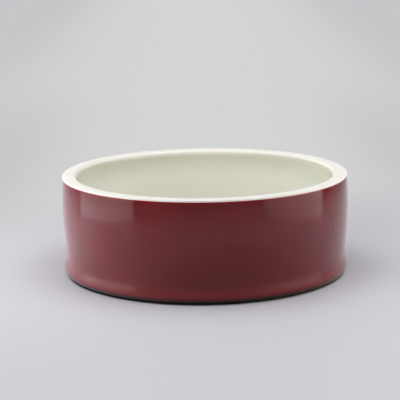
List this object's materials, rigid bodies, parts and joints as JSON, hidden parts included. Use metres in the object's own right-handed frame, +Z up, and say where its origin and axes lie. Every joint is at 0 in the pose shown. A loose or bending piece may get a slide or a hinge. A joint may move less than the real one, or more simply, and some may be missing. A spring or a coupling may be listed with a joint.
{
  "type": "brush washer",
  "caption": "Low round porcelain bowl with straight walls and a thick flat lip, red glaze outside and pale green inside, for rinsing brushes.",
  "frame": {"origin": "centre of the foot ring, on the table that the vessel stands on", "axes": "+Z up along the axis that the vessel was turned on; -Y towards the viewer of the picture"},
  "size_m": [0.15, 0.15, 0.052],
  "materials": {
    "porcelain": "matte",
    "copper_red_glaze": "gloss",
    "white_glaze": "gloss",
    "pale_green_glaze": "gloss",
    "clear_glaze": "gloss"
  },
  "bodies": {
    "root": {"porcelain_body": "porcelain", "outer_red_glaze": "copper_red_glaze", "lip_white_glaze": "white_glaze", "inner_green_lining": "pale_green_glaze", "base_clear_glaze": "clear_glaze"}
  },
  "joints": []
}
